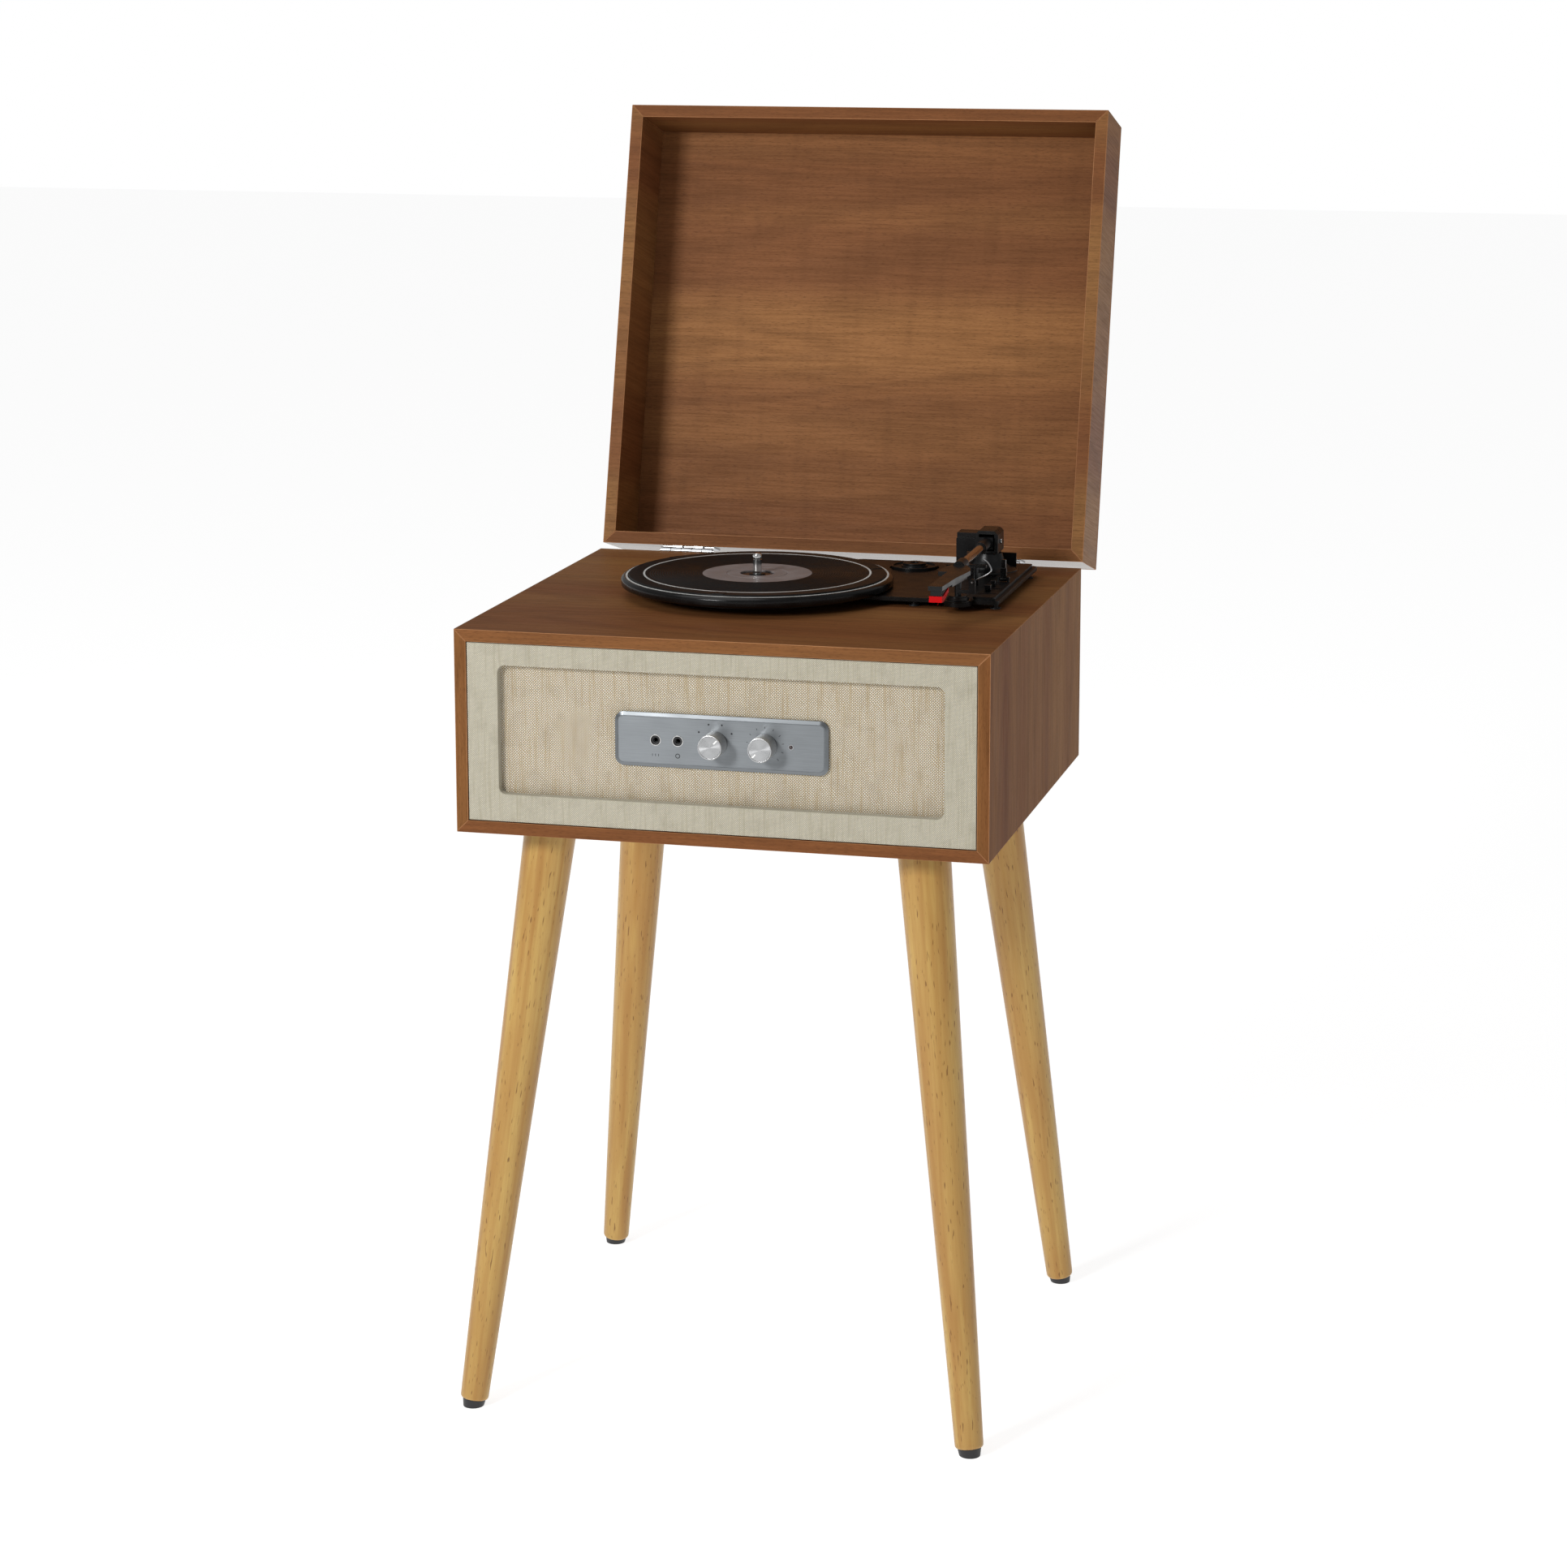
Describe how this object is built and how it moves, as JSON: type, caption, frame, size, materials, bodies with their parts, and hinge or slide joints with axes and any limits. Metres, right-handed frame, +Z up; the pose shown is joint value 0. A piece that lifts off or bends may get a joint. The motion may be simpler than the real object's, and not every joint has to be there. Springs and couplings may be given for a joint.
{
  "type": "record player console",
  "caption": "Wooden record player cabinet on splayed tapered legs, with an open hinged lid over a belt-driven turntable, and a cloth speaker grille with knobs on the front.",
  "frame": {"origin": "on the floor under the middle of the box round the whole console with its lid open", "axes": "+Z up, +Y towards the back (the hinge side), the speaker grille faces -Y, +X to the right as seen from the front"},
  "size_m": [0.4222, 0.5778, 1.0001],
  "materials": {
    "cabinet_veneer": "satin walnut-look veneer",
    "lid_veneer": "satin walnut-look veneer",
    "leg_wood": "varnished pale wood",
    "back_board": "dark painted fibreboard",
    "inner_board": "raw fibreboard",
    "frame_linen": "fine grey-cream linen over board",
    "grille_weave": "coarse open weave",
    "brushed_plate": "brushed",
    "spun_aluminium": "spun and bevelled",
    "socket_plastic": "moulded",
    "led_lens": "smoked lens",
    "plated_steel": "zinc plated",
    "leg_steel": "black painted",
    "circuit_board": "solder resist",
    "speaker_steel": "black painted",
    "speaker_paper": "doped paper",
    "glide_plastic": "moulded",
    "deck_plastic": "gloss black",
    "arm_plastic": "satin black",
    "arm_metal": "polished",
    "belt_rubber": "matt",
    "mat_rubber": "matt, ribbed",
    "label_print": "silver-grey",
    "bright_chrome": "mirror",
    "bearing_brass": "turned",
    "stylus_red": "moulded"
  },
  "bodies": {
    "console": {"top_panel": "cabinet_veneer", "bottom_panel": "cabinet_veneer", "left_panel": "cabinet_veneer", "right_panel": "cabinet_veneer", "leg_front_left": "leg_wood", "leg_front_right": "leg_wood", "leg_back_left": "leg_wood", "leg_back_right": "leg_wood", "back_panel": "back_board", "speaker_baffle": "inner_board", "grille_frame": "frame_linen", "grille_cloth": "grille_weave", "control_plate": "brushed_plate", "audio_jacks": "socket_plastic", "power_led": "led_lens", "source_switch": "plated_steel", "volume_control": "plated_steel", "amplifier_board": "circuit_board", "speaker_frames": "speaker_steel", "speaker_cones": "speaker_paper", "back_screws": "plated_steel", "leg_plates": "leg_steel", "leg_bolts": "plated_steel", "foot_glides": "glide_plastic", "deck_plate": "deck_plastic", "deck_feet": "belt_rubber", "spindle_bearing": "bearing_brass", "motor": "plated_steel", "drive_belt": "belt_rubber", "rca_outputs": "socket_plastic", "dc_inlet": "socket_plastic", "cabinet_hinge_leaves": "plated_steel", "hinge_pins": "plated_steel", "arm_base": "arm_plastic", "arm_rest": "arm_plastic"},
    "lid": {"lid_panel": "lid_veneer", "lid_front_rail": "lid_veneer", "lid_back_rail": "lid_veneer", "lid_left_rail": "lid_veneer", "lid_right_rail": "lid_veneer", "lid_hinge_leaves": "plated_steel"},
    "turning_platter": {"platter": "deck_plastic", "platter_mat": "mat_rubber", "mat_label": "label_print", "spindle": "bright_chrome"},
    "pulley": {"motor_pulley": "bearing_brass"},
    "arm_swing": {"arm_yoke": "arm_plastic"},
    "arm_lift": {"arm_carrier": "arm_plastic", "arm_tube": "arm_metal", "headshell": "arm_plastic", "cartridge": "arm_plastic", "stylus": "stylus_red"},
    "cue_lever": {"cue_lever": "arm_plastic"},
    "cue_lift": {"cue_lift": "arm_plastic"},
    "rest_clip": {"rest_clip": "bright_chrome"},
    "speed_selector": {"speed_selector": "arm_plastic"},
    "auto_stop_switch": {"auto_stop_switch": "arm_plastic"},
    "adapter": {"adapter_45": "deck_plastic"},
    "mode_knob": {"mode_knob": "spun_aluminium"},
    "volume_knob": {"volume_knob": "spun_aluminium"}
  },
  "joints": [
    {"name": "lid_hinge", "type": "hinge", "parent": "console", "child": "lid", "pos_m": [0, 0.11962, 0.625], "axis": [1, 0, 0], "range_deg": [0, 105]},
    {"name": "platter_spin", "type": "hinge", "parent": "console", "child": "turning_platter", "pos_m": [-0.021, -0.07087, 0.638], "axis": [0, 0, 1], "continuous": true},
    {"name": "pulley_spin", "type": "hinge", "parent": "console", "child": "pulley", "pos_m": [0.05436, -0.01811, 0.633], "axis": [0, 0, 1], "continuous": true},
    {"name": "tonearm_swing", "type": "hinge", "parent": "console", "child": "arm_swing", "pos_m": [0.1475, 0.03313, 0.659], "axis": [0, 0, -1], "range_deg": [0, 46]},
    {"name": "tonearm_lift", "type": "hinge", "parent": "arm_swing", "child": "arm_lift", "pos_m": [0.1475, 0.03313, 0.659], "axis": [-0.9998, -0.0175, 0], "range_deg": [0, 6]},
    {"name": "cue_lever_turn", "type": "hinge", "parent": "console", "child": "cue_lever", "pos_m": [0.171, -0.02287, 0.6378], "axis": [-1, 0, 0], "range_deg": [0, 60]},
    {"name": "cue_lift_slide", "type": "slide", "parent": "console", "child": "cue_lift", "axis": [0, 0, 1], "range_m": [0, 0.004]},
    {"name": "rest_clip_turn", "type": "hinge", "parent": "console", "child": "rest_clip", "pos_m": [0.1621, -0.10387, 0.649], "axis": [0, -1, 0], "range_deg": [0, 60]},
    {"name": "speed_selector_slide", "type": "slide", "parent": "console", "child": "speed_selector", "axis": [0, 1, 0], "range_m": [-0.005, 0.005]},
    {"name": "auto_stop_slide", "type": "slide", "parent": "console", "child": "auto_stop_switch", "axis": [0, 1, 0], "range_m": [0, 0.004]},
    {"name": "adapter_lift", "type": "slide", "parent": "console", "child": "adapter", "axis": [0, 0, 1], "range_m": [0, 0.02]},
    {"name": "mode_knob_turn", "type": "hinge", "parent": "console", "child": "mode_knob", "pos_m": [-0.0033, -0.26887, 0.545], "axis": [0, -1, 0], "range_deg": [0, 90]},
    {"name": "volume_knob_turn", "type": "hinge", "parent": "console", "child": "volume_knob", "pos_m": [0.0357, -0.26887, 0.545], "axis": [0, 1, 0], "range_deg": [0, 270]}
  ],
  "couplings": [
    {"joint": "pulley_spin", "follows": "platter_spin", "ratio": 15},
    {"joint": "cue_lever_turn", "follows": "cue_lift_slide", "rad_per_m": 261.8}
  ]
}
